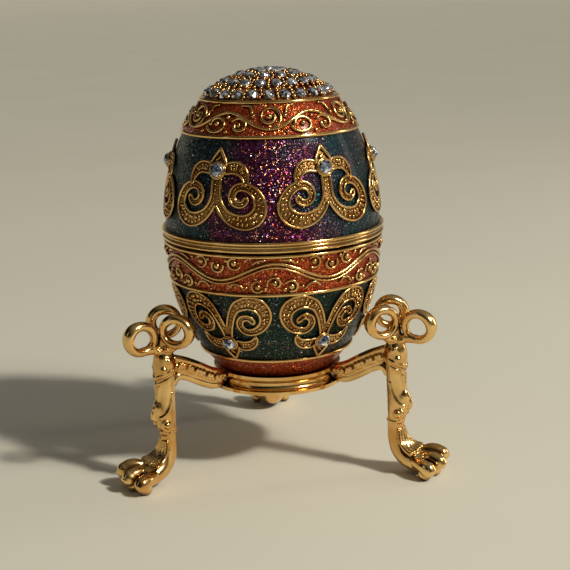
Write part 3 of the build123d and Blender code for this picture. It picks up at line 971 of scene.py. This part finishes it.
def leg_mesh():
    """Leg and paw around the Z axis, with the toes towards +X."""
    form = Form()
    trunk(form, [
        (0.0, 28.3, 1.6, 1.6), (0.05, 26.8, 2.2, 2.1), (0.1, 24.6, 2.45, 2.3), (0.0, 22.4, 2.0, 1.9),
        (0.0, 19.8, 1.9, 1.75), (0.2, 17.2, 2.05, 1.8), (0.5, 15.2, 2.3, 1.9), (0.4, 13.1, 2.15, 1.9),
        (0.05, 11.0, 1.8, 1.75), (0.0, 9.0, 1.75, 1.7), (0.25, 7.0, 1.95, 1.85), (1.1, 5.0, 2.2, 2.1),
        (2.6, 3.5, 2.3, 2.6), (4.6, 2.7, 2.2, 3.1), (6.2, 2.4, 2.1, 3.4),
    ])
    collar(form, 25.6, 22.6, 2.1, 0.46, 0.1)
    collar(form, 24.3, 21.2, 1.95, 0.3, 0.05)
    collar(form, 11.2, 10.9, 1.66, 0.34, 0.0)
    form.ball((1.9, 0, 15.9), (1.3, 1.3, 2.2), 8)
    hock = spline([(1.3, 0, 17.6), (2.7, 0, 16.2), (3.3, 0, 14.7), (2.8, 0, 13.9)], 14)
    form.tube(hock, [0.7] * 7 + [0.55] * 7, 8)
    # Ridges on both sides of the shaft: their points, how many are drawn, and their radius.
    ridges = (
        ([(-0.6, 1.55, 19.5), (0.1, 1.78, 16.7), (1.3, 1.6, 15.0), (2.4, 1.05, 14.4)], 20, 0.4),
        ([(2.1, 0.3, 23.8), (1.5, 1.4, 24.6), (0.8, 2.0, 27.0)], 12, 0.38),
        ([(1.95, 0.95, 21.2), (2.0, 0.5, 19.0), (2.1, 0.35, 17.2)], 12, 0.3),
    )
    for side in (1, -1):
        form.ball((1.0, side * 1.7, 12.9), 0.9, 7)
        form.ball((1.2, side * 1.7, 24.6), 0.8, 6)
        form.ball((0.2, side * 1.95, 26.4), 0.7, 6)
        eye = [(1.0 + 1.2 * math.cos(t), side * 1.62, 12.9 + 1.2 * math.sin(t)) for t in circle(24)]
        form.tube(eye, 0.27, 7, closed=True)
        for points, count, thick in ridges:
            form.tube(spline(np.array(points) * [1, side, 1], count), thick, 7)
    for y in (-2.2, -1.35, -0.45, 0.45, 1.35, 2.2):
        fur = [(x - 0.25 * abs(y), y * wide, z) for x, wide, z in FUR]
        form.tube(spline(fur, 18), np.linspace(0.3, 0.55, 18), 7)
    # Toes, as (sideways, share of the middle one's length, how far it is lifted).
    for y, length, rise in ((-3.35, 0.9, 0.0), (0.0, 1.0, 0.7), (3.35, 0.92, 1.3)):
        toe = spline([
            (3.8, y * 0.45, 2.9 + rise * 0.4), (6.2 * length + 0.3, y * 0.8, 3.0 + rise),
            (8.2 * length + 0.1, y, 2.8 + rise), (9.6 * length, y * 1.08, 2.2 + rise * 0.8),
            (10.1 * length, y * 1.1, 1.75 + rise * 0.6),
        ], 24)
        share = np.linspace(0, 1, len(toe))
        form.tube(toe, np.interp(share, [0, 0.3, 0.6, 0.85, 1], [0.8, 1.15, 1.45, 1.6, 1.35]), 14)
        form.ball(toe[19], (1.75, 1.6, 1.7), 8)
        form.ball((8.4 * length, y, 1.25), (1.5, 1.25, 1.3), 8)
    return fused(form, "leg_cast", 0.16, 3)


# A bracket's upper, middle and lower rib, as (distance from the egg's axis, height).
RIBS = (
    ((13.9, 21.0), (16.5, 21.9), (19.5, 23.6), (22.5, 25.1), (25.4, 26.2)),
    ((13.9, 19.9), (16.5, 20.3), (19.5, 21.9), (22.5, 23.4), (25.4, 24.6)),
    ((13.7, 18.9), (16.3, 18.9), (19.5, 20.2), (22.3, 21.7), (24.4, 22.3), (25.7, 20.9)),
)
RIB_POINTS = 30
RIB_BEADS = 12


def bracket_mesh():
    """Three ribs from the ring out to a leg's knee, with beads on both sides and a root."""
    form = Form()
    upper, middle, lower = (spline([(x, 0, z) for x, z in rib], RIB_POINTS) for rib in RIBS)
    share = np.linspace(0, 1, RIB_POINTS)
    form.tube(upper, np.linspace(0.85, 0.95, RIB_POINTS), 10)
    form.tube(middle, np.linspace(1.1, 1.2, RIB_POINTS), 12)
    form.tube(lower, np.interp(share, [0, 0.15, 0.6, 1], [0.8, 1.05, 0.8, 1.0]), 10)
    for side in (1, -1):
        for row, (offset, size) in enumerate(((0.75, 0.46), (0.05, 0.44))):
            for k in range(RIB_BEADS):
                at = int((k + 0.5 * row) / RIB_BEADS * (RIB_POINTS - 1))
                spot = middle[at] + [0.1 * row, side * (1.2 - 0.05 * row), offset]
                form.ball(spot, (size, size * 0.9, size * 1.15), 5)
    for angle in range(-75, 76, 25):
        t = math.radians(angle)
        form.tube([(13.9, 0, 19.4), (14.9, 1.5 * math.sin(t), 19.4 + 1.7 * math.cos(t))], [0.55, 0.3], 7)
    return fused(form, "bracket_cast", 0.15, 2)


# A bow's loops: distance and direction of the centre, direction of the loop's plane, height.
BOW_LOOPS = ((5.0, 0, 0, 31.4), (3.2, 242, 228, 32.4), (3.4, 127, 30, 33.2))


def towards(angle):
    """Level direction at an angle in degrees from +X."""
    return np.array([math.cos(math.radians(angle)), math.sin(math.radians(angle)), 0])


def bow_mesh():
    """Three wavy loops, their stems, and a beaded core around the Z axis."""
    form = Form()
    for k, (distance, bearing, facing, height) in enumerate(BOW_LOOPS):
        centre = distance * towards(bearing) + UP * height
        along = towards(facing)
        ring, thick = [], []
        for t in circle(64):
            ring.append(centre + along * 2.85 * math.cos(t) + UP * 2.7 * math.sin(t))
            thick.append(0.94 + 0.2 * math.cos(t - 0.6) + 0.05 * math.sin(3 * t + k))
        face = np.tile([-along[1], along[0], 0], (len(ring), 1))
        form.tube(ring, thick, 14, closed=True, face=face, flat=1.3)
        stem = [(0, 0, 27.9), centre * [0.5, 0.5, 0] + UP * 28.9, centre - UP * 2.6]
        form.tube(stem, [1.2, 1.1, 0.9], 10)
    form.tube([(0, 0, 27.3), (0, 0, 28.8), (0, 0, 31.0), (0, 0, 33.4)], [1.9, 1.6, 1.2, 0.7], 14)
    for k, turn in enumerate(circle(7) + 0.4):
        form.ball((1.75 * math.cos(turn), 1.75 * math.sin(turn), 28.4 + 0.35 * (k % 2)), 0.62, 6)
    return fused(form, "bow_cast", 0.16, 3)


def mirrored(mesh):
    """The same skin for the other side."""
    other = mesh.copy()
    other.transform(Matrix.Scale(-1, 4, (0, 1, 0)))
    other.flip_normals()
    return other


casts = {"leg": leg_mesh(), "bracket": bracket_mesh(), "bow": bow_mesh()}
sole = min(vertex.co.z for vertex in casts["leg"].vertices)
casts["leg"].transform(Matrix.Translation((0, 0, -sole)))
other_casts = {kind: mirrored(mesh) for kind, mesh in casts.items()}

for place, angle in LEG_ANGLES.items():
    turn = Matrix.Rotation(math.radians(angle), 4, "Z")
    shift = Matrix.Translation((LEG_RADIUS * MM, 0, 0))
    for kind, mesh in (other_casts if place == "front_left" else casts).items():
        obj = placed(f"{kind}_cast_{place}", mesh)
        obj.matrix_world = turn if kind == "bracket" else turn @ shift
        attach(obj, "stand")
        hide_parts(f"{kind}_{place}")


# --- floor, light and camera
def floor_material():
    s = Surface("floor_matte", Specular_IOR_Level=0.25)
    s.feed("Base Color", s.mix(s.noise(9, 2), (0.74, 0.72, 0.61), (0.80, 0.775, 0.66)))
    s.feed("Roughness", s.span(s.noise(300), 0.55, 0.7))
    return s.material


# The floor is flat for metres around and then curves up, so no edge shows behind the object.
# Its rings are (radius, height) in metres.
FLOOR_RINGS = ((5.0, 0.0), (5.6, 0.05), (6.3, 0.2), (7.0, 0.5), (7.6, 1.0), (8.0, 1.7))
SPOKES = 96


def floor():
    """Pale floor that is part of the stage, not of the object."""
    verts = [(r * math.cos(t), r * math.sin(t), z) for r, z in FLOOR_RINGS for t in circle(SPOKES)]
    faces = [(len(verts), k, (k + 1) % SPOKES) for k in range(SPOKES)]
    faces += flipped(ring_faces(len(FLOOR_RINGS), SPOKES))
    verts.append((0, 0, 0))
    mesh = bpy.data.meshes.new("floor")
    mesh.from_pydata(verts, [], faces)
    mesh.shade_smooth()
    mesh.materials.append(floor_material())
    placed("floor", mesh)


floor()

# Soft daylight: the surroundings go from dark to pale along one direction.
BRIGHT_SIDE = (0.55, 0.1, 0.6)
world = bpy.data.worlds.new("studio")
world.use_nodes = True
tree = world.node_tree
coords = tree.nodes.new("ShaderNodeTexCoord")
facing = tree.nodes.new("ShaderNodeVectorMath")
facing.operation = "DOT_PRODUCT"
facing.inputs[1].default_value = BRIGHT_SIDE
tree.links.new(coords.outputs["Generated"], facing.inputs[0])
sky = tree.nodes.new("ShaderNodeValToRGB")
tree.links.new(facing.outputs["Value"], sky.inputs[0])
dark_end, pale_end = sky.color_ramp.elements
dark_end.position, dark_end.color = 0.05, (0.012, 0.011, 0.009, 1)
pale_end.position, pale_end.color = 0.8, (0.6, 0.59, 0.54, 1)
tree.links.new(sky.outputs["Color"], tree.nodes["Background"].inputs["Color"])
tree.nodes["Background"].inputs["Strength"].default_value = 0.43
bpy.context.scene.world = world

SUN_AZIMUTH, SUN_ELEVATION = 57, 41
SUNLIGHT = (1.0, 0.94, 0.84)
MIDDLE = Vector((0, 0, 0.045))


def aimed(name, light, azimuth, elevation, distance):
    """Light placed at a distance in metres from the object's middle, and turned to it."""
    obj = placed(name, light)
    a, e = math.radians(azimuth), math.radians(elevation)
    out = Vector((math.sin(a) * math.cos(e), -math.cos(a) * math.cos(e), math.sin(e)))
    obj.location = MIDDLE + out * distance
    obj.rotation_mode = "QUATERNION"
    obj.rotation_quaternion = out.to_track_quat("Z", "Y")


def area_light(name, azimuth, elevation, distance, size, power, colour):
    light = bpy.data.lights.new(name, "AREA")
    light.shape = "RECTANGLE"
    light.size, light.size_y = size
    light.energy = power
    light.color = colour
    aimed(name, light, azimuth, elevation, distance)


area_light("key", SUN_AZIMUTH, SUN_ELEVATION, 0.6, (0.12, 0.12), power=1.15, colour=SUNLIGHT)
area_light("strip", 105, 15, 0.5, (0.08, 0.30), power=0.3, colour=(1.0, 0.95, 0.88))
area_light("fill", -60, 25, 0.8, (0.06, 0.4), power=0.07, colour=(0.92, 0.96, 1.0))

sun = bpy.data.lights.new("sun", "SUN")
sun.energy = 1.65
sun.angle = math.radians(5)
sun.color = SUNLIGHT
aimed("sun", sun, SUN_AZIMUTH, SUN_ELEVATION, 0)

bpy.context.scene.view_settings.view_transform = "Standard"

# The camera was fitted to the photograph. It looks past the egg's axis by ASIDE and ABOVE.
SENSOR = 36
FOCAL_RATIO = 2.26140351  # focal length over the image's width
VIEW_HEIGHT, VIEW_DISTANCE, VIEW_ELEVATION = 52.0, 270.0, 10.5
ASIDE, ABOVE, ROLL = 0.471, 3.00, 1.7

camera = bpy.data.cameras.new("camera")
camera.sensor_width = SENSOR
camera.lens = SENSOR * FOCAL_RATIO
camera.clip_start = 0.01
camera.clip_end = 100
camera_obj = placed("camera", camera)
e = math.radians(VIEW_ELEVATION)
back, rise = VIEW_DISTANCE * math.cos(e), VIEW_DISTANCE * math.sin(e)
camera_obj.location = Vector((0, -back, VIEW_HEIGHT + rise)) * MM
aim = Matrix.Rotation(math.radians(-ASIDE), 3, "Z")
aim = aim @ Matrix.Rotation(math.radians(90 - VIEW_ELEVATION - ABOVE), 3, "X")
aim = aim @ Matrix.Rotation(math.radians(-ROLL), 3, "Z")
camera_obj.rotation_mode = "XYZ"
camera_obj.rotation_euler = aim.to_euler()
bpy.context.scene.camera = camera_obj
